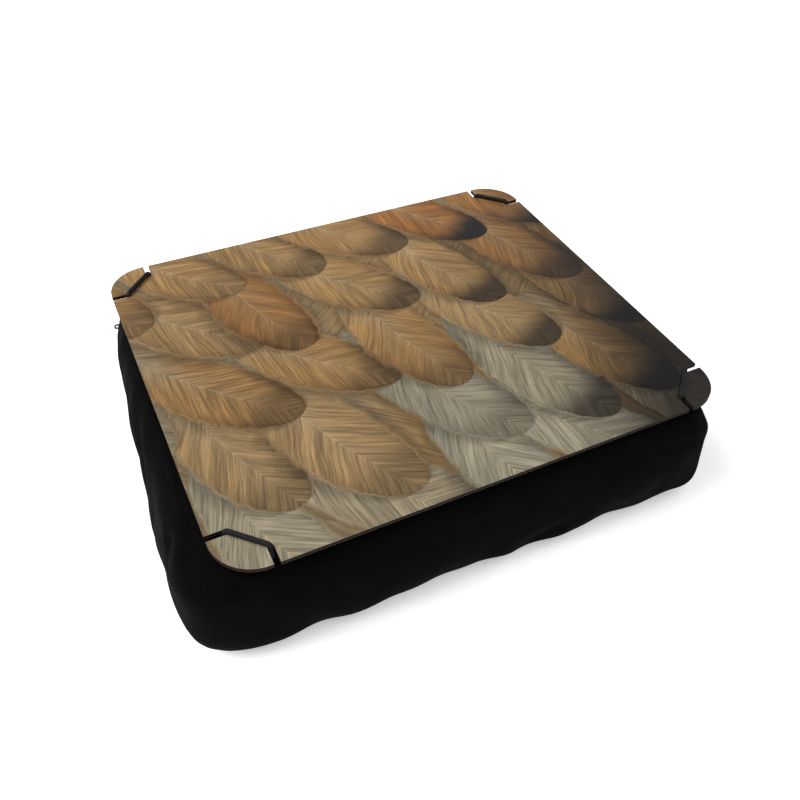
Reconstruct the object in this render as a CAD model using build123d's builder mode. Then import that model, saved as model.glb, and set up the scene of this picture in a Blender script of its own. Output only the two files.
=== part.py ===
from build123d import *
from math import atan2, cos, degrees, radians, sin
import os

# Lap tray on a bean cushion, in millimetres.
# X runs along the long side to the right, Y away from the person who uses it, and Z up.
# The origin is on the floor under the middle of the tray.

# The tray: a hardboard core with a printed gloss film on top and a dark backing sheet underneath.
board_length = 400.0
board_depth = 342.0
board_corner = 32.0
core_thick = 2.8
film_thick = 0.2
backing_thick = 0.2

# Two slits at each corner of the tray, cut in from the edge, take the elastic that crosses the corner.
slit_width = 4.6
slit_depth = 15.5
slit_offset = 36.0

# The elastic loops, which come up from the cushion.
elastic_diameter = 3.8
elastic_gap = 0.3
elastic_fold = 2.6
elastic_sides = 12
fold_steps = 3

# The cushion: the places of its four walls at the belly, where it is widest.
cushion_height = 96.5
belly_height = 52.0
left_back_wall = 204.5
left_front_wall = 230.5
right_wall = 194.0
back_wall = 172.0
front_left_wall = 172.0
front_right_wall = 184.5
front_left_corner = 42.0
front_right_corner = 27.0
back_right_corner = 30.0
back_left_corner = 24.0

# The side band rolls in to its two seams. The top panel is crowned: it climbs from its seam to the
# flat middle that the tray rests on. The bag and the beads have flat cuts where the cover is round:
# a share of the radius that keeps each cut clear of the round.
top_round = 17.0
base_round = 22.0
crown_rise = 5.0
crown_start = 18.0
crown_run = 70.0
crown_corner = 25.0
flat_cut_share = 0.92

# The cover's panels meet at two seams, and the inner bag that holds the beads lies loose in it.
cover_cloth = 1.2
bottom_seam_rise = 6.0
bag_slack = 0.9
bag_cloth = 0.6
bead_slack = 0.1
tray_gap = 0.3

# The zip in the back wall: two tapes, their beads with interlocking teeth, stops, slider and pull.
zip_left = 183.0
zip_right = 160.0
zip_end_tape = 9.0
tape_thick = 0.8
tape_width = 12.0
bead_size = 1.5
bead_thick = 2.2
chain_gap = 0.75
tooth_pitch = 3.8
tooth_length = 1.5
tooth_thick = 1.8
tooth_reach = 0.5
stop_length = 2.0
stop_thick = 2.6
running_gap = 0.3

slider_length = 9.0
slider_front_half = 4.2
slider_rear_half = 3.5
slider_round = 0.8
plate_thick = 1.0
flange_thick = 0.8
neck_length = 1.5
neck_width = 0.9
slot_margin = 0.6

bridge_width = 1.6
bridge_thick = 1.0
bridge_opening = 3.6
bridge_clear = 1.5
pull_bar = 0.9
pull_length = 27.0
pull_arm = 0.8
pull_eye_width = 4.6
pull_eye_length = 3.8
pull_stem = 2.4
pull_ring = 5.2
pull_hole = 2.4
pull_droop = 25.0

overrun = 5.0

# Levels and edges that follow from the sizes above.
board_thick = backing_thick + core_thick + film_thick
board_underside = cushion_height + tray_gap
board_top = board_underside + board_thick
half_length = board_length / 2
half_depth = board_depth / 2
elastic_radius = elastic_diameter / 2
elastic_level = board_top + elastic_radius + elastic_gap
slit_end = slit_depth - slit_width / 2
shoulder_level = cushion_height - crown_rise
corner_signs = {"fl": (-1, -1), "fr": (1, -1), "bl": (-1, 1), "br": (1, 1)}


# One level outline of the cushion: its four walls moved in by pull, with round or cut corners.
def cushion_outline(level, pull, radii, rounded):
    walls = (
        (-left_front_wall + pull, -front_left_wall + pull),
        (right_wall - pull, -front_right_wall + pull),
        (right_wall - pull, back_wall - pull),
        (-left_back_wall + pull, back_wall - pull),
    )
    with BuildSketch(Plane.XY.offset(level)) as outline:
        with BuildLine():
            Polyline(*walls, close=True)
        make_face()
        for point, radius in zip(walls, radii):
            corner = outline.vertices().sort_by_distance(point)[0]
            if rounded:
                fillet(corner, radius)
            else:
                chamfer(corner, flat_cut_share * radius)
    return outline.sketch


# The cushion's form, with every surface moved in by inset: side band, crowned top and flat base.
# Its corners and rolls are either round or cut flat.
def cushion_form(inset, rounded=True):
    band_radii = [
        radius - inset
        for radius in (front_left_corner, front_right_corner, back_right_corner, back_left_corner)
    ]
    crown_spread = crown_run - crown_start
    crown_radii = [crown_corner + crown_spread - inset] * len(band_radii)
    largest_round = min(band_radii) - cover_cloth
    top_edge = min(top_round - inset, largest_round)
    base_edge = min(base_round - inset, largest_round)
    with BuildPart() as form:
        add(cushion_outline(inset, inset, band_radii, rounded))
        extrude(amount=shoulder_level - 2 * inset)
        if rounded:
            fillet(form.edges().group_by(Axis.Z)[-1], top_edge)
            fillet(form.edges().group_by(Axis.Z)[0], base_edge)
        else:
            chamfer(form.edges().group_by(Axis.Z)[-1], flat_cut_share * top_edge)
            chamfer(form.edges().group_by(Axis.Z)[0], flat_cut_share * base_edge)
        crown_pull = crown_start + inset
        add(cushion_outline(shoulder_level - inset, crown_pull, crown_radii, rounded))
        extrude(amount=crown_rise, taper=degrees(atan2(crown_spread, crown_rise)))
    return form.part


cover_inside = cover_cloth
tape_inside = cover_inside + tape_thick
bag_outside = cover_inside + bag_slack
bag_inside = bag_outside + bag_cloth
bead_outside = bag_inside + bead_slack

outer_form = cushion_form(0)
cover_hollow = cushion_form(cover_inside)
tape_hollow = cushion_form(tape_inside)

# The zip's lines, seen from the back wall.
tape_middle = back_wall - cover_inside - tape_thick / 2
chain_edge = chain_gap + bead_size
chain_front = tape_middle + bead_thick / 2
chain_back = tape_middle - bead_thick / 2
slot_half = slider_front_half + slot_margin
slot_left = zip_left + zip_end_tape
slot_right = zip_right + zip_end_tape
plate_front = chain_front + running_gap
plate_back = chain_back - running_gap
slider_depth = plate_back - plate_thick - running_gap
chain_start = -zip_left + neck_length + 2 * running_gap
chain_length = zip_right - stop_length - chain_start
slider_travel = chain_start + chain_length - running_gap + zip_left - slider_length

# The cover's shell before it is parted into panels.
with BuildPart() as cover_shell:
    add(outer_form)
    add(cover_hollow, mode=Mode.SUBTRACT)

# Top panel
with BuildPart() as cover_top:
    add(cover_shell.part)
    split(bisect_by=Plane.XY.offset(shoulder_level), keep=Keep.TOP)

# Side band, open along the zip
with BuildPart() as cover_side:
    add(cover_shell.part)
    split(bisect_by=Plane.XY.offset(shoulder_level), keep=Keep.BOTTOM)
    split(bisect_by=Plane.XY.offset(bottom_seam_rise), keep=Keep.TOP)
    with Locations(((slot_right - slot_left) / 2, back_wall, belly_height)):
        Box(slot_left + slot_right, 2 * overrun, 2 * slot_half, mode=Mode.SUBTRACT)

# Bottom panel
with BuildPart() as cover_bottom:
    add(cover_shell.part)
    split(bisect_by=Plane.XY.offset(bottom_seam_rise), keep=Keep.BOTTOM)


# The room behind the zip that the slider's back plate runs in, larger by a margin for what lies deeper.
def slider_room(margin):
    room_left = -zip_left - stop_length - 2 * running_gap - margin
    room_right = zip_right + stop_length + running_gap + margin
    with BuildPart() as room:
        with Locations(((room_left + room_right) / 2, back_wall, belly_height)):
            Box(
                room_right - room_left,
                2 * (back_wall - slider_depth + margin),
                2 * (slot_half + margin),
            )
    return room.part


# Inner bag
with BuildPart() as bead_bag:
    add(cushion_form(bag_outside, rounded=False))
    add(slider_room(0), mode=Mode.SUBTRACT)
    with BuildPart(mode=Mode.PRIVATE) as bag_hollow:
        add(cushion_form(bag_inside, rounded=False))
        add(slider_room(bag_cloth), mode=Mode.SUBTRACT)
    add(bag_hollow.part, mode=Mode.SUBTRACT)

# Bead filling
with BuildPart() as bead_fill:
    add(cushion_form(bead_outside, rounded=False))
    add(slider_room(bag_cloth + bead_slack), mode=Mode.SUBTRACT)


# One zip tape, sewn in behind the edge of the slot. The side is 1 above the chain and -1 below it.
def zip_tape(side):
    tape_middle_height = belly_height + side * (chain_edge + tape_width / 2)
    with BuildPart() as tape:
        add(cover_hollow)
        add(tape_hollow, mode=Mode.SUBTRACT)
        with Locations(((zip_right - zip_left) / 2, back_wall, tape_middle_height)):
            Box(
                slot_left + slot_right,
                4 * overrun,
                tape_width,
                mode=Mode.INTERSECT,
            )
    return tape.part


# One row of teeth on its bead. The lower row is half a pitch along, so that the two mesh.
def zip_teeth(side):
    tooth_count = int((chain_length - tooth_pitch / 2 - tooth_length) / tooth_pitch) + 1
    shift = 0 if side > 0 else tooth_pitch / 2
    first_tooth = chain_start + shift + tooth_length / 2
    tooth_root = chain_gap + bead_size / 2
    bead_height = belly_height + side * tooth_root
    tooth_height = belly_height + side * (tooth_root - tooth_reach) / 2
    bead_left = -zip_left - running_gap
    bead_right = zip_right
    row_middle = first_tooth + (tooth_count - 1) * tooth_pitch / 2
    with BuildPart() as teeth:
        with Locations(((bead_left + bead_right) / 2, tape_middle, bead_height)):
            Box(bead_right - bead_left, bead_thick, bead_size)
        with Locations((row_middle, tape_middle, tooth_height)):
            with GridLocations(tooth_pitch, tooth_pitch, tooth_count, 1):
                Box(tooth_length, tooth_thick, tooth_root + tooth_reach)
    return teeth.part


# The stops at the closed end, one on each bead, and the one that joins the beads at the other end.
with BuildPart() as zip_end_stops:
    for side in (-1, 1):
        with Locations(
            (
                -zip_left - running_gap - stop_length / 2,
                tape_middle,
                belly_height + side * (chain_gap + bead_size / 2),
            )
        ):
            Box(stop_length, stop_thick, bead_size)

with BuildPart() as zip_base_stop:
    with Locations((zip_right + stop_length / 2, tape_middle, belly_height)):
        Box(stop_length, stop_thick, 2 * chain_edge)

# Slider: two plates joined by the neck that parts the teeth, flanges round the beads, and a bridge.
slider_nose = -zip_left
slider_tail = slider_nose + slider_length
flange_inside = chain_edge + running_gap
flange_drop = (bead_thick - tape_thick) / 2
pivot_x = slider_nose + slider_length / 2
pivot_y = plate_front + plate_thick + running_gap + pull_bar / 2

with BuildPart() as zip_slider:
    for origin_y, direction in ((plate_front, 1), (plate_back, -1)):
        plate_origin = (0, origin_y, belly_height)
        with BuildSketch(Plane(plate_origin, x_dir=(1, 0, 0), z_dir=(0, 1, 0))):
            with BuildLine():
                Polyline(
                    (slider_nose, -slider_front_half),
                    (slider_nose, slider_front_half),
                    (slider_nose + slider_length / 2, slider_front_half),
                    (slider_tail, slider_rear_half),
                    (slider_tail, -slider_rear_half),
                    (slider_nose + slider_length / 2, -slider_front_half),
                    close=True,
                )
            make_face()
        extrude(amount=direction * plate_thick)
    fillet(zip_slider.edges().filter_by(Axis.Y), slider_round)
    for origin_y, direction in ((plate_front, -1), (plate_back, 1)):
        for side in (-1, 1):
            with Locations(
                (
                    slider_nose + (slider_length + neck_length) / 2,
                    origin_y + direction * flange_drop / 2,
                    belly_height + side * (flange_inside + flange_thick / 2),
                )
            ):
                Box(slider_length - neck_length - 2 * slider_round, flange_drop, flange_thick)
    with Locations((slider_nose + running_gap + neck_length / 2, tape_middle, belly_height)):
        Box(neck_length, plate_front - plate_back, neck_width)
    with Locations(
        (pivot_x, plate_front + plate_thick + (bridge_clear + bridge_thick) / 2, belly_height)
    ):
        Box(bridge_opening + 2 * bridge_thick, bridge_clear + bridge_thick, bridge_width)
    with Locations((pivot_x, plate_front + plate_thick + bridge_clear / 2, belly_height)):
        Box(bridge_opening, bridge_clear, bridge_width, mode=Mode.SUBTRACT)

# Pull: a round bar under the bridge, two arms round it, a stem and a ring at the free end.
droop = radians(pull_droop)
pull_plane = Plane(
    origin=(pivot_x, pivot_y, belly_height),
    x_dir=(-cos(droop), 0, -sin(droop)),
    z_dir=(0, 1, 0),
)
pull_outer = pull_eye_width + 2 * pull_arm
pull_shoulder = pull_eye_length + pull_arm

with BuildPart() as zip_pull:
    with BuildSketch(pull_plane.offset(-pull_bar / 2)):
        with BuildLine():
            Polyline(
                (0, -pull_outer / 2),
                (pull_shoulder, -pull_outer / 2),
                (pull_shoulder + pull_outer / 2, -pull_stem / 2),
                (pull_length - pull_ring / 2, -pull_stem / 2),
                (pull_length - pull_ring / 2, pull_stem / 2),
                (pull_shoulder + pull_outer / 2, pull_stem / 2),
                (pull_shoulder, pull_outer / 2),
                (0, pull_outer / 2),
                close=True,
            )
        make_face()
        with Locations((pull_length - pull_ring / 2, 0)):
            Circle(pull_ring / 2)
            Circle(pull_hole / 2, mode=Mode.SUBTRACT)
        with Locations((pull_eye_length / 2, 0)):
            Rectangle(pull_eye_length, pull_eye_width, mode=Mode.SUBTRACT)
    extrude(amount=pull_bar)
    bar_plane = Plane(pull_plane.origin, x_dir=(0, 1, 0), z_dir=pull_plane.y_dir)
    with BuildSketch(bar_plane.offset(-pull_outer / 2)):
        Circle(pull_bar / 2)
    extrude(amount=pull_outer)


# The tray's outline with its eight slits, for each of its three layers.
def tray_layer(level, thick):
    with BuildPart() as layer:
        with BuildSketch(Plane.XY.offset(level)):
            RectangleRounded(board_length, board_depth, board_corner)
            for side_x, side_y in corner_signs.values():
                with Locations((side_x * half_length, side_y * (half_depth - slit_offset))):
                    SlotCenterToCenter(2 * slit_end, slit_width, mode=Mode.SUBTRACT)
                with Locations((side_x * (half_length - slit_offset), side_y * half_depth)):
                    SlotCenterToCenter(2 * slit_end, slit_width, rotation=90, mode=Mode.SUBTRACT)
        extrude(amount=thick)
    return layer.part


with BuildPart() as tray_backing:
    add(tray_layer(board_underside, backing_thick))

with BuildPart() as tray_board:
    add(tray_layer(board_underside + backing_thick, core_thick))

with BuildPart() as tray_print:
    add(tray_layer(board_top - film_thick, film_thick))


# The two places at a corner where the elastic goes down through the slits.
def elastic_feet(side_x, side_y):
    return (
        (side_x * (half_length - slit_end), side_y * (half_depth - slit_offset)),
        (side_x * (half_length - slit_offset), side_y * (half_depth - slit_end)),
    )


# The bend of an elastic at one slit, as steps round a quarter turn: how far across and how high.
def elastic_bend():
    bend = []
    for step in range(fold_steps + 1):
        turn = radians(90 * step / fold_steps)
        bend.append((elastic_fold * (1 - cos(turn)), elastic_fold * (sin(turn) - 1)))
    return bend


# An elastic loop: up through one slit, across the corner and down through the other.
def elastic_loop(side_x, side_y):
    first, second = (Vector(*foot) for foot in elastic_feet(side_x, side_y))
    across = (second - first).normalized()
    over = Vector(0, 0, elastic_level)
    route = [first + Vector(0, 0, belly_height)]
    route += [first + across * run + over + Vector(0, 0, rise) for run, rise in elastic_bend()]
    route += [
        second - across * run + over + Vector(0, 0, rise) for run, rise in reversed(elastic_bend())
    ]
    route += [second + Vector(0, 0, belly_height)]
    with BuildPart() as loop:
        with BuildLine():
            Polyline(*route)
        with BuildSketch(Plane.XY.offset(belly_height)):
            with Locations(first):
                RegularPolygon(elastic_radius, elastic_sides)
        sweep(transition=Transition.RIGHT)
        add(outer_form, mode=Mode.SUBTRACT)
    return loop.part


nodes = {
    "cover_top": cover_top.part,
    "cover_side": cover_side.part,
    "cover_bottom": cover_bottom.part,
    "bead_bag": bead_bag.part,
    "bead_fill": bead_fill.part,
    "zip_tape_upper": zip_tape(1),
    "zip_tape_lower": zip_tape(-1),
    "zip_teeth_upper": zip_teeth(1),
    "zip_teeth_lower": zip_teeth(-1),
    "zip_end_stops": zip_end_stops.part,
    "zip_base_stop": zip_base_stop.part,
    "zip_slider": zip_slider.part,
    "zip_pull": zip_pull.part,
    "tray_backing": tray_backing.part,
    "tray_board": tray_board.part,
    "tray_print": tray_print.part,
}
for name, signs in corner_signs.items():
    nodes["elastic_" + name] = elastic_loop(*signs)

os.makedirs("parts", exist_ok=True)
for name, piece in nodes.items():
    piece.label = name
    export_step(piece, "parts/" + name + ".step")
print("slider travel", round(slider_travel, 3))
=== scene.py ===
import math
import random

import bmesh
import bpy
from mathutils import Matrix, Vector, noise
from mathutils.bvhtree import BVHTree


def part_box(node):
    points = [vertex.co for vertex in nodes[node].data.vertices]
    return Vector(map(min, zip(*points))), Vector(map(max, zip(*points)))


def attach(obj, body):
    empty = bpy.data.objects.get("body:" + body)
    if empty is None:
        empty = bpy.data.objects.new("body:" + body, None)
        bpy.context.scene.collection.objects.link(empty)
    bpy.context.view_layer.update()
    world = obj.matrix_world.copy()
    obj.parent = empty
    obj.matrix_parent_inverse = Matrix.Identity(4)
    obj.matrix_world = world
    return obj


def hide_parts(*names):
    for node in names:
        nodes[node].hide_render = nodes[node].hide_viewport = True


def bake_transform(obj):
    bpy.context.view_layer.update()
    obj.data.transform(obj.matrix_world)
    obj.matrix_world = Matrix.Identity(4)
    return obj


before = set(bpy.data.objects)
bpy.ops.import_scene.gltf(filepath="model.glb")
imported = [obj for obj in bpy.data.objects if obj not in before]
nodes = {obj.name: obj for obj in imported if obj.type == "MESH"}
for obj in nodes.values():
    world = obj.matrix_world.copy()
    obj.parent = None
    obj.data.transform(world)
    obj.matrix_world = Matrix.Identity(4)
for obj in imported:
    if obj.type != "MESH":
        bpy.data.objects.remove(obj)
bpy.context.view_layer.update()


# Camera, lights and floor.

camera = {
    "position": (-0.2329, -0.4584, 0.5274),
    "right": (0.8992, -0.4367, 0.0281),
    "up": (0.2884, 0.6398, 0.7124),
    "lens": 36.69,
    "sensor": 36.0,
}

studio = {
    "skyColour": (0.95, 0.97, 1.0),
    "skyStrength": 0.26,
    "floorColour": (0.93, 0.93, 0.93),
    "floorRoughness": 0.9,
    "floorSpecular": 0.1,
    "floorLift": 0.30,  # how far the floor glows towards white near the tray
    "floorFade": (0.9, 2.6),  # where that glow starts to grow and where it is full
    "floorSize": 8.0,
    "floorDrop": 0.0004,
    "keyPower": 105.0,
    "keySize": 2.4,
    "keyPlace": (-1.7, 0.6, 1.9),
    "fillPower": 36.0,
    "fillSize": 2.4,
    "fillPlace": (0.7, -1.3, 2.2),
}


def addObject(name, data):
    item = bpy.data.objects.new(name, data)
    bpy.context.collection.objects.link(item)
    return item


def makeCamera():
    data = bpy.data.cameras.new("camera")
    data.lens = camera["lens"]
    data.sensor_width = camera["sensor"]
    data.sensor_fit = "HORIZONTAL"
    data.clip_start = 0.01
    right = Vector(camera["right"]).normalized()
    up = Vector(camera["up"])
    up = (up - right * up.dot(right)).normalized()
    back = right.cross(up)
    turn = Matrix((right, up, back)).transposed().to_4x4()
    item = addObject("camera", data)
    item.matrix_world = Matrix.Translation(camera["position"]) @ turn
    bpy.context.scene.camera = item


def areaLight(name, place, power, size):
    data = bpy.data.lights.new(name, "AREA")
    data.energy = power
    data.size = size
    item = addObject(name, data)
    item.location = place
    item.rotation_euler = (Vector(place) * -1).to_track_quat("-Z", "Y").to_euler()


# The white background shows to the camera and in gloss, and lights nothing.
def seenRays(graph):
    path = graph.tree.nodes.new("ShaderNodeLightPath").outputs
    seen = graph.math("ADD", path["Is Camera Ray"], path["Is Glossy Ray"], clamp=True)
    return graph.math("ADD", seen, path["Is Transmission Ray"], clamp=True)


def makeStudio():
    scene = bpy.context.scene
    scene.view_settings.view_transform = "Standard"
    world = bpy.data.worlds.new("studio")
    scene.world = world
    world.use_nodes = True
    tree = world.node_tree
    tree.nodes.clear()
    graph = Graph(tree)
    soft = tree.nodes.new("ShaderNodeBackground")
    soft.inputs["Color"].default_value = (*studio["skyColour"], 1)
    soft.inputs["Strength"].default_value = studio["skyStrength"]
    white = tree.nodes.new("ShaderNodeBackground")
    white.inputs["Color"].default_value = (1, 1, 1, 1)
    mix = tree.nodes.new("ShaderNodeMixShader")
    out = tree.nodes.new("ShaderNodeOutputWorld")
    graph.feed(mix.inputs[0], seenRays(graph))
    tree.links.new(soft.outputs[0], mix.inputs[1])
    tree.links.new(white.outputs[0], mix.inputs[2])
    tree.links.new(mix.outputs[0], out.inputs["Surface"])
    areaLight("key", studio["keyPlace"], studio["keyPower"], studio["keySize"])
    areaLight("fill", studio["fillPlace"], studio["fillPower"], studio["fillSize"])
    makeFloor()
    print("studio ready")


def makeFloor():
    half = studio["floorSize"] / 2
    mesh = bpy.data.meshes.new("floor")
    corners = [(-half, -half, 0), (half, -half, 0), (half, half, 0), (-half, half, 0)]
    mesh.from_pydata(corners, [], [(0, 1, 2, 3)])
    floor = addObject("floor", mesh)
    floor.location.z = -studio["floorDrop"]
    look, shader, graph, place = newMaterial("floorPaper")
    x, y, _ = graph.split(place)
    away = graph.math("SQRT", graph.plus(graph.times(x, x), graph.times(y, y)))
    lift = graph.step(away, *studio["floorFade"], studio["floorLift"], 1.0)
    graph.fill(shader, {
        "Base Color": studio["floorColour"],
        "Roughness": studio["floorRoughness"],
        "Specular IOR Level": studio["floorSpecular"],
        "Emission Color": (1.0, 1.0, 1.0),
        "Emission Strength": graph.times(seenRays(graph), lift),
    })
    setMaterial(floor, look)


# Node helpers: a graph adds nodes to one tree and hands back their outputs.

class Graph:
    def __init__(self, tree):
        self.tree = tree

    def feed(self, socket, value):
        if isinstance(value, bpy.types.NodeSocket):
            self.tree.links.new(value, socket)
        elif isinstance(value, tuple) and socket.type == "RGBA" and len(value) == 3:
            socket.default_value = (*value, 1)
        else:
            socket.default_value = value

    def fill(self, item, values):
        for name, value in values.items():
            self.feed(item.inputs[name], value)

    def math(self, operation, *values, clamp=False):
        item = self.tree.nodes.new("ShaderNodeMath")
        item.operation = operation
        item.use_clamp = clamp
        for socket, value in zip(item.inputs, values):
            self.feed(socket, value)
        return item.outputs[0]

    def plus(self, first, second):
        return self.math("ADD", first, second)

    def minus(self, first, second):
        return self.math("SUBTRACT", first, second)

    def times(self, first, second):
        return self.math("MULTIPLY", first, second)

    def timesAdd(self, first, second, third):
        return self.math("MULTIPLY_ADD", first, second, third)

    def sine(self, value):
        return self.math("SINE", value)

    def positive(self, value):
        return self.math("ABSOLUTE", value)

    def vector(self, operation, *values):
        item = self.tree.nodes.new("ShaderNodeVectorMath")
        item.operation = operation
        for socket, value in zip(item.inputs, values):
            self.feed(socket, value)
        return item.outputs[0]

    def mix(self, factor, first, second):
        item = self.tree.nodes.new("ShaderNodeMix")
        item.data_type = "RGBA"
        self.feed(item.inputs[0], factor)
        self.feed(item.inputs[6], first)
        self.feed(item.inputs[7], second)
        return item.outputs[2]

    def step(self, value, low, high, bottom=0.0, top=1.0):
        item = self.tree.nodes.new("ShaderNodeMapRange")
        item.interpolation_type = "SMOOTHSTEP"
        for socket, given in zip(item.inputs, (value, low, high, bottom, top)):
            self.feed(socket, given)
        return item.outputs[0]

    def noise(self, vector, scale, detail=2.0, roughness=0.5):
        item = self.tree.nodes.new("ShaderNodeTexNoise")
        self.feed(item.inputs["Vector"], vector)
        self.feed(item.inputs["Scale"], scale)
        item.inputs["Detail"].default_value = detail
        item.inputs["Roughness"].default_value = roughness
        return item.outputs["Fac"]

    def split(self, vector):
        item = self.tree.nodes.new("ShaderNodeSeparateXYZ")
        self.feed(item.inputs[0], vector)
        return item.outputs

    def join(self, x, y, z):
        item = self.tree.nodes.new("ShaderNodeCombineXYZ")
        for socket, value in zip(item.inputs, (x, y, z)):
            self.feed(socket, value)
        return item.outputs[0]

    def bump(self, height, strength, distance):
        item = self.tree.nodes.new("ShaderNodeBump")
        item.inputs["Strength"].default_value = strength
        item.inputs["Distance"].default_value = distance
        self.feed(item.inputs["Height"], height)
        return item.outputs[0]


# A new material, its shader, its graph and the place on the object that its patterns follow.
def newMaterial(name):
    look = bpy.data.materials.new(name)
    look.use_nodes = True
    graph = Graph(look.node_tree)
    place = graph.tree.nodes.new("ShaderNodeTexCoord").outputs["Object"]
    return look, graph.tree.nodes["Principled BSDF"], graph, place


def setMaterial(item, look):
    item.data.materials.clear()
    item.data.materials.append(look)


# The printed film: a plumage pattern of soft feathers under a gloss finish.

plumage = {
    "cream": (0.31, 0.245, 0.155),
    "greige": (0.205, 0.185, 0.130),
    "tan": (0.240, 0.142, 0.054),
    "ginger": (0.215, 0.088, 0.020),
    "brown": (0.045, 0.018, 0.006),
    "dark": (0.006, 0.004, 0.003),
    "specular": 0.08,
    "gloss": 0.10,
    "glossRoughness": 0.06,
    "roughness": (0.14, 0.24),
    "ripple": (0.05, 0.0004),  # strength and height of the film's unevenness
    "rows": 5,
    "columns": 6,
    "rowStep": 0.076,
    "columnStep": 0.080,
    "rowShift": 0.8,
    "jitter": 0.009,
    "turn": (-78, -44),
    "halfLength": 0.084,
    "halfWidth": 0.041,
    "sizes": (0.94, 1.05),
    "warmth": (0.46, 2.3, 0.5, 0.24),  # at the middle, more to the back, more to the right, chance
    "tip": (0.55, 1.8, -0.3, 0.4),  # at the middle, more to the right, chance from and to
    "seed": 11,
    "bend": 0.16,
    "barbSlope": 0.62,
    "nicks": (26.0, 83.0, 0.022),  # coarse beat, fine beat and depth of the feather's edge
    "edge": (0.88, 1.06),
    "halo": (1.0, 1.5, 0.7),  # start, end and strength of the shadow round each feather
    "shadow": 0.62,
    "strands": (30.0, 1.6, 3.0),  # rows along the feather, sideways and detail
    "fineStrands": (95.0, 3.0, 2.0),
    "tufts": (6.0, 2.0),
    "heart": 0.42,
    "down": 0.4,
    "quill": 0.32,
    "lace": (0.15, 0.6),  # strength on a pale feather and on a warm one
    "strandTones": (0.62, 1.32),
    "fineTones": (0.84, 1.14),
    "tuftTones": (0.82, 1.14),
    "cloudTones": (0.78, 1.0),
    "darkCorner": (0.10, 0.225, 0.06),  # start, end and tone of the dark right corner
}


# The feathers lie in rows, each over the one in front of it, as they do on a bird.
def featherPlaces():
    chance = random.Random(plumage["seed"])
    rows, columns, jitter = plumage["rows"], plumage["columns"], plumage["jitter"]
    for row in range(rows):
        for column in range(columns):
            shift = (row % 2 - 0.5) * plumage["rowShift"]
            x = (column - (columns - 1) / 2 + shift) * plumage["columnStep"]
            y = (row - (rows - 1) / 2) * plumage["rowStep"]
            place = (x + chance.uniform(-jitter, jitter), y + chance.uniform(-jitter, jitter))
            middle, toBack, toRight, spread = plumage["warmth"]
            warmth = middle + toBack * y + toRight * x + chance.uniform(-spread, spread)
            warmth = min(1.0, max(0.0, warmth))
            middle, toRight, least, most = plumage["tip"]
            tip = min(1.0, max(0.2, middle + toRight * x + chance.uniform(least, most)))
            size = chance.uniform(*plumage["sizes"])
            yield place, chance.uniform(*plumage["turn"]), size, warmth, tip


# One feather laid over what lies below it. Spot is the place on the feather that shows, Held is its
# warmth, tip and seed, and Shade is the shadow that the feathers above cast.
def featherGroup():
    tree = bpy.data.node_groups.new("feather", "ShaderNodeTree")
    passed = (("Spot", "Vector"), ("Held", "Vector"), ("Shade", "Float"))
    for name, kind in (("Local", "Vector"), ("Seed", "Float"), ("Kind", "Vector"), *passed):
        tree.interface.new_socket(name, in_out="INPUT", socket_type="NodeSocket" + kind)
    for name, kind in passed:
        tree.interface.new_socket(name, in_out="OUTPUT", socket_type="NodeSocket" + kind)
    graph = Graph(tree)
    given = tree.nodes.new("NodeGroupInput").outputs
    coarse, fine, depth = plumage["nicks"]
    x, y, _ = graph.split(given["Local"])
    across = graph.timesAdd(graph.times(x, x), -plumage["bend"], y)
    off = graph.positive(across)
    barb = graph.timesAdd(off, -plumage["barbSlope"], x)
    nick = graph.sine(graph.timesAdd(barb, coarse, given["Seed"]))
    nick = graph.timesAdd(graph.sine(graph.times(barb, fine)), 0.6, nick)
    rounded = graph.math("MAXIMUM", graph.minus(1.0, graph.times(x, x)), 0.0)
    width = graph.times(graph.math("SQRT", rounded), graph.timesAdd(x, 0.16, 0.84))
    width = graph.times(width, graph.timesAdd(nick, depth, 0.95))
    share = graph.math("DIVIDE", off, graph.math("MAXIMUM", width, 0.001))
    mask = graph.step(share, *plumage["edge"], 1.0, 0.0)
    halo = graph.step(share, *plumage["halo"], 0.0)
    spot = graph.join(x, across, share)
    outputs = tree.nodes.new("NodeGroupOutput").inputs
    for name, new, old in (("Spot", spot, given["Spot"]), ("Held", given["Kind"], given["Held"])):
        blend = tree.nodes.new("ShaderNodeMix")
        blend.data_type = "VECTOR"
        graph.feed(blend.inputs[0], mask)
        graph.feed(blend.inputs[4], old)
        graph.feed(blend.inputs[5], new)
        graph.feed(outputs[name], blend.outputs[1])
    under = graph.math("MAXIMUM", given["Shade"], halo)
    graph.feed(outputs["Shade"], graph.times(under, graph.minus(1.0, mask)))
    return tree


def layFeathers(graph, place):
    group = featherGroup()
    shown = {
        "Spot": graph.vector("MULTIPLY", place, (12.0, 22.0, 0.0)),
        "Held": (0.45, 0.3, 0.0),
        "Shade": 0.2,
    }
    for number, (centre, turn, size, warmth, tip) in enumerate(featherPlaces()):
        local = graph.tree.nodes.new("ShaderNodeMapping")
        local.vector_type = "TEXTURE"
        graph.feed(local.inputs["Vector"], place)
        local.inputs["Location"].default_value = (*centre, 0)
        local.inputs["Rotation"].default_value = (0, 0, math.radians(turn))
        length, width = plumage["halfLength"] * size, plumage["halfWidth"] * size
        local.inputs["Scale"].default_value = (length, width, 1)
        item = graph.tree.nodes.new("ShaderNodeGroup")
        item.node_tree = group
        kind = (warmth, tip, number * 0.37)
        graph.fill(item, {"Local": local.outputs[0], "Seed": number * 1.7, "Kind": kind, **shown})
        shown = {name: item.outputs[name] for name in shown}
    return shown["Spot"], shown["Held"], shown["Shade"]


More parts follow.
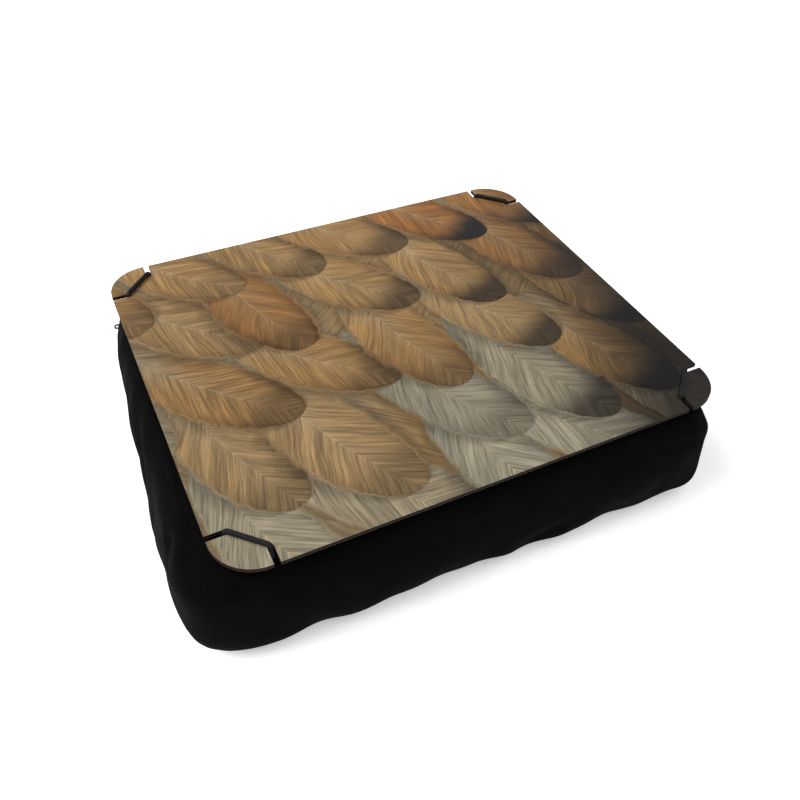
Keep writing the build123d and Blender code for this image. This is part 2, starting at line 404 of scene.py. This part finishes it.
def printMaterial():
    look, shader, graph, place = newMaterial("printedFilm")
    drift = graph.noise(place, 14.0, 2.0)
    offset = graph.vector("MULTIPLY", graph.join(drift, drift, 0.0), (0.012, -0.01, 0.0))
    spot, held, shade = layFeathers(graph, graph.vector("ADD", place, offset))
    along, across, share = graph.split(spot)
    warmth, tip, seed = graph.split(held)
    off = graph.positive(across)
    barb = graph.timesAdd(off, -plumage["barbSlope"], along)
    side = graph.math("SIGN", across)

    def grain(rows, sideways, detail):
        stretched = graph.join(graph.times(barb, rows), graph.times(off, sideways), seed)
        return graph.noise(stretched, 1.0, detail, 0.62)

    strand = grain(*plumage["strands"])
    fine = grain(*plumage["fineStrands"])
    rows, sideways = plumage["tufts"]
    tuft = graph.noise(graph.join(graph.times(barb, rows), graph.times(side, sideways), seed), 1.0)

    # the vane's colour, from its warmth, pale at the heart and laced with brown at the edge
    vane = graph.mix(graph.step(warmth, 0.0, 0.5), plumage["greige"], plumage["tan"])
    vane = graph.mix(graph.step(warmth, 0.45, 1.0), vane, plumage["ginger"])
    inner = graph.step(off, 0.0, 0.5, plumage["heart"], 0.0)
    heart = graph.times(inner, graph.step(along, -0.9, 0.3, 1.0, 0.25))
    vane = graph.mix(heart, vane, plumage["cream"])
    down = graph.times(graph.step(along, -0.8, -0.2, 1.0, 0.0), plumage["down"])
    vane = graph.mix(down, vane, plumage["greige"])
    lace = graph.times(graph.step(share, 0.55, 0.95), graph.step(along, -0.3, 0.5))
    lace = graph.times(lace, graph.step(warmth, 0.2, 0.9, *plumage["lace"]))
    vane = graph.mix(lace, vane, plumage["brown"])
    reach = graph.timesAdd(strand, 0.35, along)
    vane = graph.mix(graph.times(graph.step(reach, 0.62, 0.96), tip), vane, plumage["dark"])
    shaft = graph.step(off, 0.008, 0.035, plumage["quill"], 0.0)
    quill = graph.times(shaft, graph.step(along, 0.2, 0.7, 1.0, 0.0))
    vane = graph.mix(quill, vane, plumage["cream"])

    # its tone, from the barbs, the shadows, soft clouds and the dark corner
    threads = graph.step(strand, 0.28, 0.72, *plumage["strandTones"])
    tone = graph.times(threads, graph.step(fine, 0.3, 0.7, *plumage["fineTones"]))
    tone = graph.times(tone, graph.step(tuft, 0.3, 0.7, *plumage["tuftTones"]))
    tone = graph.times(tone, graph.timesAdd(shade, -plumage["shadow"], 1.0))
    cloud = graph.noise(place, 7.0, 2.0)
    tone = graph.times(tone, graph.step(cloud, 0.3, 0.7, *plumage["cloudTones"]))
    x, y, _ = graph.split(place)
    start, end, dark = plumage["darkCorner"]
    corner = graph.step(graph.timesAdd(y, -0.35, x), start, end, 1.0, dark)
    tone = graph.times(tone, corner)

    smear = graph.noise(place, 22.0, 3.0)
    ripple = graph.noise(place, 60.0, 2.0)
    graph.fill(shader, {
        "Base Color": graph.vector("MULTIPLY", vane, graph.join(tone, tone, tone)),
        "Roughness": graph.step(smear, 0.3, 0.75, *plumage["roughness"]),
        "Specular IOR Level": plumage["specular"],
        "Coat Weight": plumage["gloss"],
        "Coat Roughness": plumage["glossRoughness"],
        "Normal": graph.bump(ripple, *plumage["ripple"]),
    })
    return look


# The board and its backing.

board = {
    "colours": ((0.006, 0.004, 0.003), (0.022, 0.012, 0.007)),
    "fibreScale": 420.0,
    "layers": 14.0,
    "roughness": (0.6, 0.8),
    "specular": 0.06,
    "bump": (0.3, 0.0002),
}

backing = {
    "colours": ((0.035, 0.026, 0.020), (0.060, 0.045, 0.034)),
    "meshScale": 700.0,
    "wearScale": 18.0,
    "roughness": (0.55, 0.75),
    "bump": (0.35, 0.0003),
}


def boardMaterial():
    look, shader, graph, place = newMaterial("hardboard")
    layered = graph.vector("MULTIPLY", place, (1.0, 1.0, board["layers"]))
    fibre = graph.noise(layered, board["fibreScale"], 4.0, 0.65)
    graph.fill(shader, {
        "Base Color": graph.mix(graph.step(fibre, 0.3, 0.7), *board["colours"]),
        "Roughness": graph.step(fibre, 0.2, 0.8, *board["roughness"]),
        "Specular IOR Level": board["specular"],
        "Normal": graph.bump(fibre, *board["bump"]),
    })
    return look


def backingMaterial():
    look, shader, graph, place = newMaterial("backingSheet")
    mesh = graph.noise(place, backing["meshScale"], 2.0)
    wear = graph.noise(place, backing["wearScale"], 4.0)
    graph.fill(shader, {
        "Base Color": graph.mix(graph.step(wear, 0.35, 0.7), *backing["colours"]),
        "Roughness": graph.step(wear, 0.3, 0.7, *backing["roughness"]),
        "Normal": graph.bump(mesh, *backing["bump"]),
    })
    return look


def dressTray():
    setMaterial(nodes["tray_print"], printMaterial())
    setMaterial(nodes["tray_board"], boardMaterial())
    setMaterial(nodes["tray_backing"], backingMaterial())
    print("tray dressed")


# The corner elastics: braided cord, up through one slit and down through the next.

elastic = {
    "radius": 0.0019,
    "fold": 0.0026,
    "foldSteps": 8,
    "sunk": 0.0008,  # how far the ends stand in the cover
    "held": 0.001,
    "sides": 20,
    "step": 0.00045,
    "strands": 8,
    "braidPitch": 0.0062,
    "braidDepth": 0.045,
    "colours": ((0.003, 0.003, 0.0035), (0.012, 0.012, 0.013)),
    "fuzzScale": 1500.0,
    "rubScale": 120.0,
    "roughness": (0.55, 0.8),
    "specular": 0.12,
    "sheen": 0.012,
    "sheenRoughness": 0.4,
    "bump": (0.5, 0.0001),
}


def cordMaterial():
    look, shader, graph, place = newMaterial("elasticCord")
    fuzz = graph.noise(place, elastic["fuzzScale"], 3.0, 0.6)
    rub = graph.noise(place, elastic["rubScale"], 2.0)
    graph.fill(shader, {
        "Base Color": graph.mix(graph.step(fuzz, 0.35, 0.75), *elastic["colours"]),
        "Roughness": graph.step(rub, 0.3, 0.7, *elastic["roughness"]),
        "Specular IOR Level": elastic["specular"],
        "Sheen Weight": elastic["sheen"],
        "Sheen Roughness": elastic["sheenRoughness"],
        "Normal": graph.bump(fuzz, *elastic["bump"]),
    })
    return look


def elasticRoute(name, cover):
    low, high = (Vector(corner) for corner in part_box(name))
    radius, fold, steps = elastic["radius"], elastic["fold"], elastic["foldSteps"]
    side = (1 if low.x > 0 else -1, 1 if low.y > 0 else -1)
    outerX = (high.x if side[0] > 0 else low.x) - side[0] * radius
    outerY = (high.y if side[1] > 0 else low.y) - side[1] * radius
    innerX = (low.x if side[0] > 0 else high.x) + side[0] * radius
    innerY = (low.y if side[1] > 0 else high.y) + side[1] * radius
    feet = (Vector((outerX, innerY, 0)), Vector((innerX, outerY, 0)))
    across = (feet[1] - feet[0]).normalized()
    level = high.z - radius
    points = []
    for foot, way in ((feet[0], across), (feet[1], -across)):
        above = Vector((foot.x, foot.y, level))
        landing = cover.ray_cast(above, Vector((0, 0, -1)))[0].z  # where the leg meets the cover
        bend = []
        for index in range(steps + 1):
            turn = math.pi / 2 * index / steps
            run = fold * (1 - math.cos(turn))
            rise = fold * (math.sin(turn) - 1)
            bend.append(foot + way * run + Vector((0, 0, level + rise)))
        points.append([foot + Vector((0, 0, landing - elastic["sunk"])), *bend])
    return points[0] + points[1][::-1]


# Points at equal steps along a line.
def evenPoints(points, step):
    lengths = [0.0]
    for before, after in zip(points, points[1:]):
        lengths.append(lengths[-1] + (after - before).length)
    count = max(2, round(lengths[-1] / step))
    out = []
    index = 0
    for number in range(count + 1):
        goal = lengths[-1] * number / count
        while index < len(lengths) - 2 and lengths[index + 1] < goal:
            index += 1
        span = lengths[index + 1] - lengths[index]
        share = (goal - lengths[index]) / span if span else 0
        out.append(points[index].lerp(points[index + 1], share))
    return out


def tubeMesh(name, points, radiusAt, sides):
    mesh = bpy.data.meshes.new(name)
    verts = []
    faces = []
    normal = None
    last = len(points) - 1
    for index, point in enumerate(points):
        before = points[index - 1] if index else point
        after = points[index + 1] if index < last else point
        along = (after - before).normalized()
        if normal is None:
            normal = along.orthogonal().normalized()
        normal = (normal - along * normal.dot(along)).normalized()
        other = along.cross(normal)
        for number in range(sides):
            turn = 2 * math.pi * number / sides
            out = normal * math.cos(turn) + other * math.sin(turn)
            verts.append(point + out * radiusAt(index, turn))
    for row in range(last):
        here, ahead = row * sides, (row + 1) * sides
        for number in range(sides):
            beside = (number + 1) % sides
            faces.append((here + number, here + beside, ahead + beside, ahead + number))
    faces.append(tuple(reversed(range(sides))))
    faces.append(tuple(last * sides + number for number in range(sides)))
    mesh.from_pydata(verts, [], faces)
    mesh.shade_smooth()
    return addObject(name, mesh)


# The braid's strands run round the cord both ways.
def braidRadius(index, turn):
    half = elastic["strands"] / 2
    twist = 2 * math.pi * index * elastic["step"] / elastic["braidPitch"]
    first = math.cos(half * (turn + twist))
    second = math.cos(half * (turn - twist))
    return elastic["radius"] * (1 - elastic["braidDepth"] * (1 - max(first, second)))


def makeElastics(cushionCover):
    look = cordMaterial()
    form = bmesh.new()
    form.from_mesh(cushionCover.data)
    cover = BVHTree.FromBMesh(form)
    form.free()
    for name in ("elastic_fl", "elastic_fr", "elastic_bl", "elastic_br"):
        points = evenPoints(elasticRoute(name, cover), elastic["step"])
        item = tubeMesh("cord_" + name[-2:], points, braidRadius, elastic["sides"])
        setMaterial(item, look)
        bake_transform(item)
        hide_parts(name)
    print("elastics made")


# The cushion: a bean-filled box of black cloth, puffed by the cloth simulation, then creased.

sideHigh = Vector(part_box("cover_side")[1])
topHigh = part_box("cover_top")[1][2]

cushion = {
    # the form: where its walls stand, the corners from the front left round to the back left
    "leftFront": 0.2305,
    "leftBack": 0.2045,
    "right": sideHigh.x,
    "back": sideHigh.y,
    "frontLeft": 0.172,
    "frontRight": 0.1845,
    "corners": (0.041, 0.021, 0.032, 0.026),
    "leastCorner": 0.008,
    "cornerSteps": 8,
    "topLevel": topHigh - 0.0004,
    "shoulder": sideHigh.z,
    "topRound": 0.017,
    "baseRound": 0.022,
    "roundSteps": 8,
    "crown": ((0.048, -0.0018), (0.080, 0.0)),  # rings on the top: how far in, and below the top
    # the cloth simulation
    "slack": 0.003,
    "voxel": 0.005,
    "pressure": 7.0,
    "quality": 6,
    "mass": 0.3,
    "stretch": 12,
    "bending": 0.4,
    "shrink": (-0.03, 0.05),
    "frames": 20,
    "cap": 0.008,
    "stray": 0.0022,
    "smoothing": 5,
    # where the cover is held fully and where it is free again
    "underTray": (0.003, 0.007),
    "onFloor": (0.002, 0.006),
    "zipDepth": (0.006, 0.014),
    "zipBand": (0.015, 0.028),
    # room to its neighbours: under the tray, past the back wall where held and where free,
    # and over the zip's tapes, which the lifted band passes at both ends
    "trayGap": 0.0003,
    "pastBack": (0.0005, 0.006),
    "tapeGap": 0.0002,
    "pastTape": 0.003,
    # seams and zip
    "seamLevels": (0.0065, sideHigh.z - 0.0005),
    "seamReach": 0.009,
    "seamDip": (0.0009, 0.0022),  # depth and half width
    "seamLine": (0.0002, 0.0007),
    "seamWobble": 0.0012,
    "zipLevel": 0.052,
    "slotHalf": 0.0048,
    "slotFold": 0.0105,
    "slotSpare": 0.0004,
    "stitchRow": 0.0088,
    "stitchBeat": 2200.0,
    # the cloth's look
    "shades": ((0.0011, 0.0011, 0.0012), (0.0040, 0.0040, 0.0045)),
    "weave": 5200.0,
    # lumps over the beads, fine wrinkles and the ripple of the lower hem
    "lumps": 0.0018,
    "wrinkles": 0.0005,
    "hem": 0.0026,
    "hemFade": (0.012, 0.034),
    # places where the beads push the cloth out or leave it slack: middle, reach and push
    "swells": (
        ((-0.204, 0.165, 0.094), 0.060, -0.0075),
        ((-0.226, -0.070, 0.030), 0.050, 0.0045),
        ((-0.222, -0.150, 0.030), 0.050, 0.0030),
        ((0.192, -0.176, 0.020), 0.045, 0.0040),
        ((-0.175, -0.170, 0.012), 0.048, 0.0040),
        ((-0.110, -0.173, 0.012), 0.040, 0.0036),
        ((-0.060, -0.176, 0.045), 0.060, 0.0020),
        ((0.010, -0.178, 0.012), 0.040, 0.0026),
        ((0.062, -0.180, 0.012), 0.036, 0.0044),
        ((0.120, -0.182, 0.040), 0.060, 0.0020),
        ((0.194, 0.030, 0.045), 0.070, 0.0030),
        ((-0.020, 0.172, 0.016), 0.070, 0.0020),
    ),
    # where the elastics draw the cover's top in: corner, reach and pull
    "tucks": (
        ((-0.2045, 0.172), 0.060, 0.0090),
        ((0.194, -0.1845), 0.050, 0.0035),
        ((0.194, 0.172), 0.045, 0.0015),
        ((-0.2305, -0.172), 0.045, 0.0010),
    ),
    # one crease per line: two end points, half width and depth
    "creases": (
        ((-0.223, -0.105, 0.086), (-0.214, -0.150, 0.068), 0.0045, 0.0035),
        ((-0.216, -0.130, 0.090), (-0.186, -0.168, 0.078), 0.0040, 0.0026),
        ((-0.214, 0.060, 0.092), (-0.222, 0.010, 0.058), 0.0065, 0.0030),
        ((-0.216, 0.020, 0.092), (-0.226, -0.040, 0.052), 0.0070, 0.0032),
        ((-0.210, 0.120, 0.088), (-0.214, 0.085, 0.050), 0.0060, 0.0026),
        ((-0.120, -0.174, 0.088), (-0.104, -0.175, 0.060), 0.0055, 0.0020),
        ((0.130, -0.184, 0.084), (0.176, -0.182, 0.070), 0.0050, 0.0026),
        ((0.176, -0.182, 0.088), (0.193, -0.150, 0.066), 0.0045, 0.0030),
        ((0.020, -0.178, 0.018), (0.060, -0.179, 0.034), 0.0060, 0.0020),
        ((0.192, -0.060, 0.088), (0.193, -0.010, 0.050), 0.0065, 0.0028),
        ((0.192, 0.060, 0.040), (0.193, 0.110, 0.074), 0.0060, 0.0024),
        ((0.192, 0.130, 0.090), (0.180, 0.170, 0.070), 0.0045, 0.0026),
        ((-0.202, 0.140, 0.088), (-0.190, 0.170, 0.074), 0.0040, 0.0022),
    ),
}


# The cushion's outline seen from above, drawn in by inset.
def outlinePoints(inset):
    walls = (
        Vector((-cushion["leftFront"] + inset, -cushion["frontLeft"] + inset)),
        Vector((cushion["right"] - inset, -cushion["frontRight"] + inset)),
        Vector((cushion["right"] - inset, cushion["back"] - inset)),
        Vector((-cushion["leftBack"] + inset, cushion["back"] - inset)),
    )
    points = []
    for index, corner in enumerate(walls):
        radius = max(cushion["corners"][index] - inset * 0.6, cushion["leastCorner"])
        toBefore = (walls[index - 1] - corner).normalized()
        toAfter = (walls[(index + 1) % 4] - corner).normalized()
        start = corner + toBefore * radius
        end = corner + toAfter * radius
        for number in range(cushion["cornerSteps"] + 1):
            share = number / cushion["cornerSteps"]
            first = start.lerp(corner, share)
            second = corner.lerp(end, share)
            points.append(first.lerp(second, share))
    return points


# The full form, from the floor over the shoulder to the crowned top, its walls drawn in by slack.
def cushionForm(slack):
    top = cushion["topLevel"]
    base = cushion["baseRound"]
    roll = cushion["topRound"]
    steps = cushion["roundSteps"]
    rings = []
    for number in range(steps + 1):
        turn = math.pi / 2 * number / steps
        rings.append((slack + base * (1 - math.sin(turn)), base * (1 - math.cos(turn))))
    for number in range(steps + 1):
        turn = math.pi / 2 * number / steps
        level = cushion["shoulder"] - roll * (1 - math.sin(turn))
        rings.append((slack + roll * (1 - math.cos(turn)), level))
    for inset, drop in cushion["crown"]:
        rings.append((inset, top + drop))
    form = bmesh.new()
    loops = []
    for inset, level in rings:
        loops.append([form.verts.new((*point, level)) for point in outlinePoints(inset)])
    for below, above in zip(loops, loops[1:]):
        for number in range(len(below)):
            beside = (number + 1) % len(below)
            form.faces.new((below[number], below[beside], above[beside], above[number]))
    form.faces.new(list(reversed(loops[0])))
    form.faces.new(loops[-1])
    mesh = bpy.data.meshes.new("cushionCover")
    form.to_mesh(mesh)
    form.free()
    return addObject("cushionCover", mesh)


def applyModifiers(item):
    graph = bpy.context.evaluated_depsgraph_get()
    mesh = bpy.data.meshes.new_from_object(item.evaluated_get(graph))
    item.modifiers.clear()
    old = item.data
    item.data = mesh
    bpy.data.meshes.remove(old)


# One up to full, nothing from none on, and evenly less between them.
def fade(value, full, none):
    return min(1.0, max(0.0, (none - value) / (none - full)))


def zipHold(point):
    nearBack = fade(cushion["back"] - point.y, *cushion["zipDepth"])
    return nearBack * fade(abs(point.z - cushion["zipLevel"]), *cushion["zipBand"])


# How firmly a point is held: under the tray, on the floor, and along the zip.
def heldAt(point):
    under = fade(topHigh - point.z, *cushion["underTray"])
    floor = fade(point.z, *cushion["onFloor"])
    return max(under, floor, zipHold(point))


def seamPull(point):
    near = min(abs(point.z - level) for level in cushion["seamLevels"])
    return fade(near, 0.0, cushion["seamReach"])


def puffCushion(item):
    remesh = item.modifiers.new("remesh", "REMESH")
    remesh.mode = "VOXEL"
    remesh.voxel_size = cushion["voxel"]
    applyModifiers(item)
    start = [vert.co.copy() for vert in item.data.vertices]
    hold = item.vertex_groups.new(name="hold")
    pull = item.vertex_groups.new(name="pull")
    for vert in item.data.vertices:
        hold.add([vert.index], heldAt(vert.co), "REPLACE")
        pull.add([vert.index], seamPull(vert.co), "REPLACE")
    cloth = item.modifiers.new("cloth", "CLOTH")
    settings = cloth.settings
    settings.quality = cushion["quality"]
    settings.mass = cushion["mass"]
    settings.tension_stiffness = cushion["stretch"]
    settings.compression_stiffness = cushion["stretch"]
    settings.bending_stiffness = cushion["bending"]
    settings.use_pressure = True
    settings.uniform_pressure_force = cushion["pressure"]
    settings.effector_weights.gravity = 0
    settings.vertex_group_mass = "hold"
    settings.vertex_group_shrink = "pull"
    settings.shrink_min, settings.shrink_max = cushion["shrink"]
    cloth.point_cache.frame_start = 1
    cloth.point_cache.frame_end = cushion["frames"]
    for number in range(1, cushion["frames"] + 1):
        bpy.context.scene.frame_set(number)
    applyModifiers(item)
    bpy.context.scene.frame_set(1)
    for vert, before in zip(item.data.vertices, start):
        move = vert.co - before
        if move.length > cushion["cap"]:
            vert.co = before + move.normalized() * cushion["cap"]
    print("cushion puffed")


# The puffed cover is drawn towards its full form, so that no wall strays far from its size.
def fitCushion(item):
    full = cushionForm(0.0)
    form = bmesh.new()
    form.from_mesh(full.data)
    bmesh.ops.triangulate(form, faces=form.faces)
    tree = BVHTree.FromBMesh(form)
    form.free()
    bpy.data.objects.remove(full)
    stray = cushion["stray"]
    for vert in item.data.vertices:
        place, normal, _, _ = tree.find_nearest(vert.co)
        gap = (vert.co - place).dot(normal)
        kept = stray * math.tanh(gap / stray) * (1 - heldAt(vert.co))
        vert.co += normal * (kept - gap)
    smooth = item.modifiers.new("smooth", "CORRECTIVE_SMOOTH")
    smooth.use_only_smooth = True
    smooth.factor = 0.5
    smooth.iterations = cushion["smoothing"]
    applyModifiers(item)


# The cloth's own soft lumps over the beads, and the creases that the photograph shows.
def foldDepth(point):
    lumps = noise.noise(Vector((point.x * 9, point.y * 9, point.z * 12))) * cushion["lumps"]
    lean = Vector((point.x * 24 + point.z * 18, point.y * 24 - point.z * 14, point.z * 8))
    depth = lumps + noise.noise(lean) * cushion["wrinkles"]
    hem = noise.noise(Vector((point.x * 34, point.y * 34, 3.0)))
    depth += hem * cushion["hem"] * fade(point.z, *cushion["hemFade"])
    for middle, reach, push in cushion["swells"]:
        near = (point - Vector(middle)).length / reach
        depth += push * math.exp(-3 * near * near)
    for start, end, width, deep in cushion["creases"]:
        first, last = Vector(start), Vector(end)
        run = last - first
        share = (point - first).dot(run) / run.length_squared
        nearest = first + run * min(1.0, max(0.0, share))
        near = (point - nearest).length / width
        if near > 4:
            continue
        ends = fade(abs(share - 0.5), 0.3, 0.75)
        swell = 0.45 * math.exp(-((near - 2.0) ** 2) / 1.2)  # the cloth rises beside its crease
        depth += ends * deep * (swell - math.exp(-near * near))
    return depth


# How far the elastics draw a point of the cover's upper edge in, as a step across the floor plane.
def tuckAt(point):
    step = Vector((0, 0, 0))
    for (x, y), reach, pull in cushion["tucks"]:
        near = math.hypot(point.x - x, point.y - y) / reach
        inward = Vector((-x, -y, 0)).normalized()
        high = fade(topHigh - point.z, 0.004, 0.045)
        step += inward * pull * math.exp(-3 * near * near) * high
    return step * (1 - zipHold(point))


def seamDip(level):
    deep, half = cushion["seamDip"]
    return deep * sum(math.exp(-(((level - seam) / half) ** 2)) for seam in cushion["seamLevels"])


def shapeFolds(item):
    mesh = item.data
    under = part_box("tray_backing")[0][2] - cushion["trayGap"]
    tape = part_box("zip_tape_upper")
    tapeStart, tapeEnd = tape[0][0] - cushion["pastTape"], tape[1][0] + cushion["pastTape"]
    tight, loose = cushion["pastBack"]
    normals = [vert.normal.copy() for vert in mesh.vertices]
    for vert, normal in zip(mesh.vertices, normals):
        free = 1 - heldAt(vert.co)
        dip = seamDip(vert.co.z) * fade(abs(normal.z), 0.6, 0.95)
        move = foldDepth(vert.co) * free - dip
        vert.co += normal * move + tuckAt(vert.co)
        vert.co.z = min(max(vert.co.z, 0.0), under)
        vert.co.y = min(vert.co.y, cushion["back"] + tight + loose * free)
        if tapeStart < vert.co.x < tapeEnd:
            lift = max(0, cushion["back"] - cushion["tapeGap"] - vert.co.y)
            vert.co.y += lift * zipHold(vert.co)
    mesh.update()
    print("folds shaped")


def smoothOnce(item):
    smooth = item.modifiers.new("smooth", "SUBSURF")
    smooth.levels = 1
    smooth.render_levels = 1
    applyModifiers(item)


# The woven cloth of the cover, the bag and the zip's tapes.

weaving = {
    "lintScale": 800.0,
    "dustScale": 26.0,
    "roughness": (0.80, 0.94),
    "specular": 0.02,
    "sheen": 0.002,
    "sheenRoughness": 0.5,
    "bump": (0.35, 0.00025),
}


def clothMaterial(name, shades, weave, seams=()):
    look, shader, graph, place = newMaterial(name)
    x, y, z = graph.split(place)
    facing = graph.tree.nodes.new("ShaderNodeNewGeometry").outputs["Normal"]
    _, _, flat = graph.split(graph.vector("ABSOLUTE", facing))
    useTop = graph.step(flat, 0.6, 0.8)
    warp = graph.sine(graph.times(graph.plus(x, y), weave))
    weft = graph.sine(graph.times(z, weave))
    acrossX = graph.sine(graph.times(x, weave))
    acrossY = graph.sine(graph.times(y, weave))
    sideWeave = graph.times(graph.times(warp, weft), graph.minus(1.0, useTop))
    topWeave = graph.times(graph.times(acrossX, acrossY), useTop)
    threads = graph.plus(sideWeave, topWeave)
    lint = graph.noise(place, weaving["lintScale"], 3.0, 0.6)
    dust = graph.noise(place, weaving["dustScale"], 4.0, 0.6)
    height = graph.plus(graph.times(threads, 0.6), graph.times(lint, 0.7))
    tone = graph.plus(graph.step(lint, 0.35, 0.8, 0.0, 0.5), graph.step(dust, 0.4, 0.8, 0.0, 0.5))
    if seams:
        # a row of stitches and a folded edge on both sides of the zip's slot
        reach = graph.positive(graph.minus(z, cushion["zipLevel"]))
        fromRow = graph.positive(graph.minus(reach, cushion["stitchRow"]))
        row = graph.step(fromRow, 0.0002, 0.0005, 1.0, 0.0)
        beat = graph.step(graph.sine(graph.times(x, cushion["stitchBeat"])), -0.5, -0.1)
        atBack = graph.math("GREATER_THAN", y, cushion["back"] - 0.004)
        thread = graph.times(graph.times(row, beat), atBack)
        fold = graph.step(reach, cushion["slotHalf"], cushion["slotFold"], 1.0, 0.0)
        fold = graph.times(fold, atBack)
        tone = graph.timesAdd(thread, 1.6, tone)
        height = graph.plus(height, graph.timesAdd(thread, 2.0, fold))
    for seam in seams:
        sway = cushion["seamWobble"]
        wobble = graph.timesAdd(graph.noise(place, 60.0, 1.0), sway, seam - sway / 2)
        away = graph.positive(graph.minus(z, wobble))
        line = graph.step(away, *cushion["seamLine"], 1.0, 0.0)
        tone = graph.times(tone, graph.timesAdd(line, -0.9, 1.0))
        height = graph.timesAdd(line, -3.0, height)
    graph.fill(shader, {
        "Base Color": graph.mix(tone, *shades),
        "Roughness": graph.step(dust, 0.3, 0.7, *weaving["roughness"]),
        "Specular IOR Level": weaving["specular"],
        "Sheen Weight": weaving["sheen"],
        "Sheen Roughness": weaving["sheenRoughness"],
        "Normal": graph.bump(height, *weaving["bump"]),
    })
    return look


# The slot in the back wall, as deep as the zip's slider.
def cutZipSlot(item):
    low, high = (Vector(corner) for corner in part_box("zip_tape_upper"))
    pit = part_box("zip_slider")[0][1] - cushion["slotSpare"]
    half = cushion["slotHalf"]
    mesh = bpy.data.meshes.new("slot")
    form = bmesh.new()
    bmesh.ops.create_cube(form, size=1.0)
    for vert in form.verts:
        x = low.x if vert.co.x < 0 else high.x
        y = pit if vert.co.y < 0 else pit + 0.02
        vert.co = Vector((x, y, cushion["zipLevel"] + math.copysign(half, vert.co.z)))
    form.to_mesh(mesh)
    form.free()
    cutter = addObject("slot", mesh)
    cut = item.modifiers.new("slot", "BOOLEAN")
    cut.operation = "DIFFERENCE"
    cut.solver = "EXACT"
    cut.object = cutter
    applyModifiers(item)
    bpy.data.objects.remove(cutter)


# The bag and the beads: copies of the cover's skin, further in.

bag = {
    "shades": ((0.62, 0.61, 0.58), (0.78, 0.77, 0.74)),
    "weave": 4200.0,
    "depth": 0.0060,
}

beads = {
    # colours: a bead's middle, then the painted shade in the hollow where beads meet
    "colours": ((0.86, 0.86, 0.85), (0.60, 0.60, 0.60)),
    "scale": 260.0,
    "roughness": (0.45, 0.65),
    "bump": (0.8, 0.002),
    "depth": 0.0080,
}


def innerCopy(item, name, depth, look, nodeName):
    mesh = item.data.copy()
    copy = addObject(name, mesh)
    normals = [vert.normal.copy() for vert in mesh.vertices]
    for vert, normal in zip(mesh.vertices, normals):
        ripple = noise.noise(vert.co * 45) * 0.0012
        vert.co -= normal * (depth + ripple)
    mesh.update()
    mesh.shade_smooth()
    setMaterial(copy, look)
    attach(copy, "cushion")
    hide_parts(nodeName)


def beadMaterial():
    look, shader, graph, place = newMaterial("beadFill")
    cells = graph.tree.nodes.new("ShaderNodeTexVoronoi")
    graph.feed(cells.inputs["Vector"], place)
    cells.inputs["Scale"].default_value = beads["scale"]
    # painted shading: each bead is painted lighter at its middle and darker towards its edge, where
    # shade falls between it and the next
    away = cells.outputs["Distance"]
    graph.fill(shader, {
        "Base Color": graph.mix(graph.step(away, 0.2, 0.7), *beads["colours"]),
        "Roughness": graph.step(away, 0.1, 0.7, *beads["roughness"]),
        "Normal": graph.bump(graph.times(away, -1.0), *beads["bump"]),
    })
    return look


def makeCushion():
    item = cushionForm(cushion["slack"])
    puffCushion(item)
    fitCushion(item)
    shapeFolds(item)
    bagLook = clothMaterial("bagCloth", bag["shades"], bag["weave"])
    innerCopy(item, "innerBag", bag["depth"], bagLook, "bead_bag")
    innerCopy(item, "beadMass", beads["depth"], beadMaterial(), "bead_fill")
    smoothOnce(item)
    cutZipSlot(item)
    item.data.shade_smooth()
    shades, weave, seams = cushion["shades"], cushion["weave"], cushion["seamLevels"]
    setMaterial(item, clothMaterial("coverCloth", shades, weave, seams))
    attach(item, "cushion")
    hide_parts("cover_top", "cover_side", "cover_bottom")
    print("cushion made")
    return item


# The zip.

zipLooks = {
    "metal": ((0.020, 0.020, 0.022), (0.100, 0.098, 0.096)),
    "metalWear": 420.0,
    "metalRoughness": (0.34, 0.5),
    "metalShare": 0.7,
    "metalBump": (0.08, 0.00005),
    "teeth": ((0.006, 0.006, 0.007), (0.020, 0.020, 0.022)),
    "teethGrain": 2500.0,
    "teethRoughness": (0.3, 0.45),
    "teethBump": (0.2, 0.00008),
    "tape": ((0.006, 0.006, 0.007), (0.020, 0.020, 0.022)),
    "tapeWeave": 9000.0,
}


def metalMaterial():
    look, shader, graph, place = newMaterial("zipMetal")
    wear = graph.noise(place, zipLooks["metalWear"], 4.0, 0.55)
    graph.fill(shader, {
        "Base Color": graph.mix(graph.step(wear, 0.52, 0.8), *zipLooks["metal"]),
        "Roughness": graph.step(wear, 0.3, 0.8, *zipLooks["metalRoughness"]),
        "Metallic": zipLooks["metalShare"],
        "Normal": graph.bump(wear, *zipLooks["metalBump"]),
    })
    return look


def teethMaterial():
    look, shader, graph, place = newMaterial("zipTeeth")
    grain = graph.noise(place, zipLooks["teethGrain"], 2.0)
    graph.fill(shader, {
        "Base Color": graph.mix(grain, *zipLooks["teeth"]),
        "Roughness": graph.step(grain, 0.2, 0.8, *zipLooks["teethRoughness"]),
        "Normal": graph.bump(grain, *zipLooks["teethBump"]),
    })
    return look


def dressZip():
    metal = metalMaterial()
    teeth = teethMaterial()
    tape = clothMaterial("zipTape", zipLooks["tape"], zipLooks["tapeWeave"])
    for look, names in (
        (metal, ("zip_slider", "zip_pull", "zip_end_stops", "zip_base_stop")),
        (teeth, ("zip_teeth_upper", "zip_teeth_lower")),
        (tape, ("zip_tape_upper", "zip_tape_lower")),
    ):
        for name in names:
            setMaterial(nodes[name], look)
    print("zip dressed")


makeCamera()
makeStudio()
dressTray()
makeElastics(makeCushion())
dressZip()
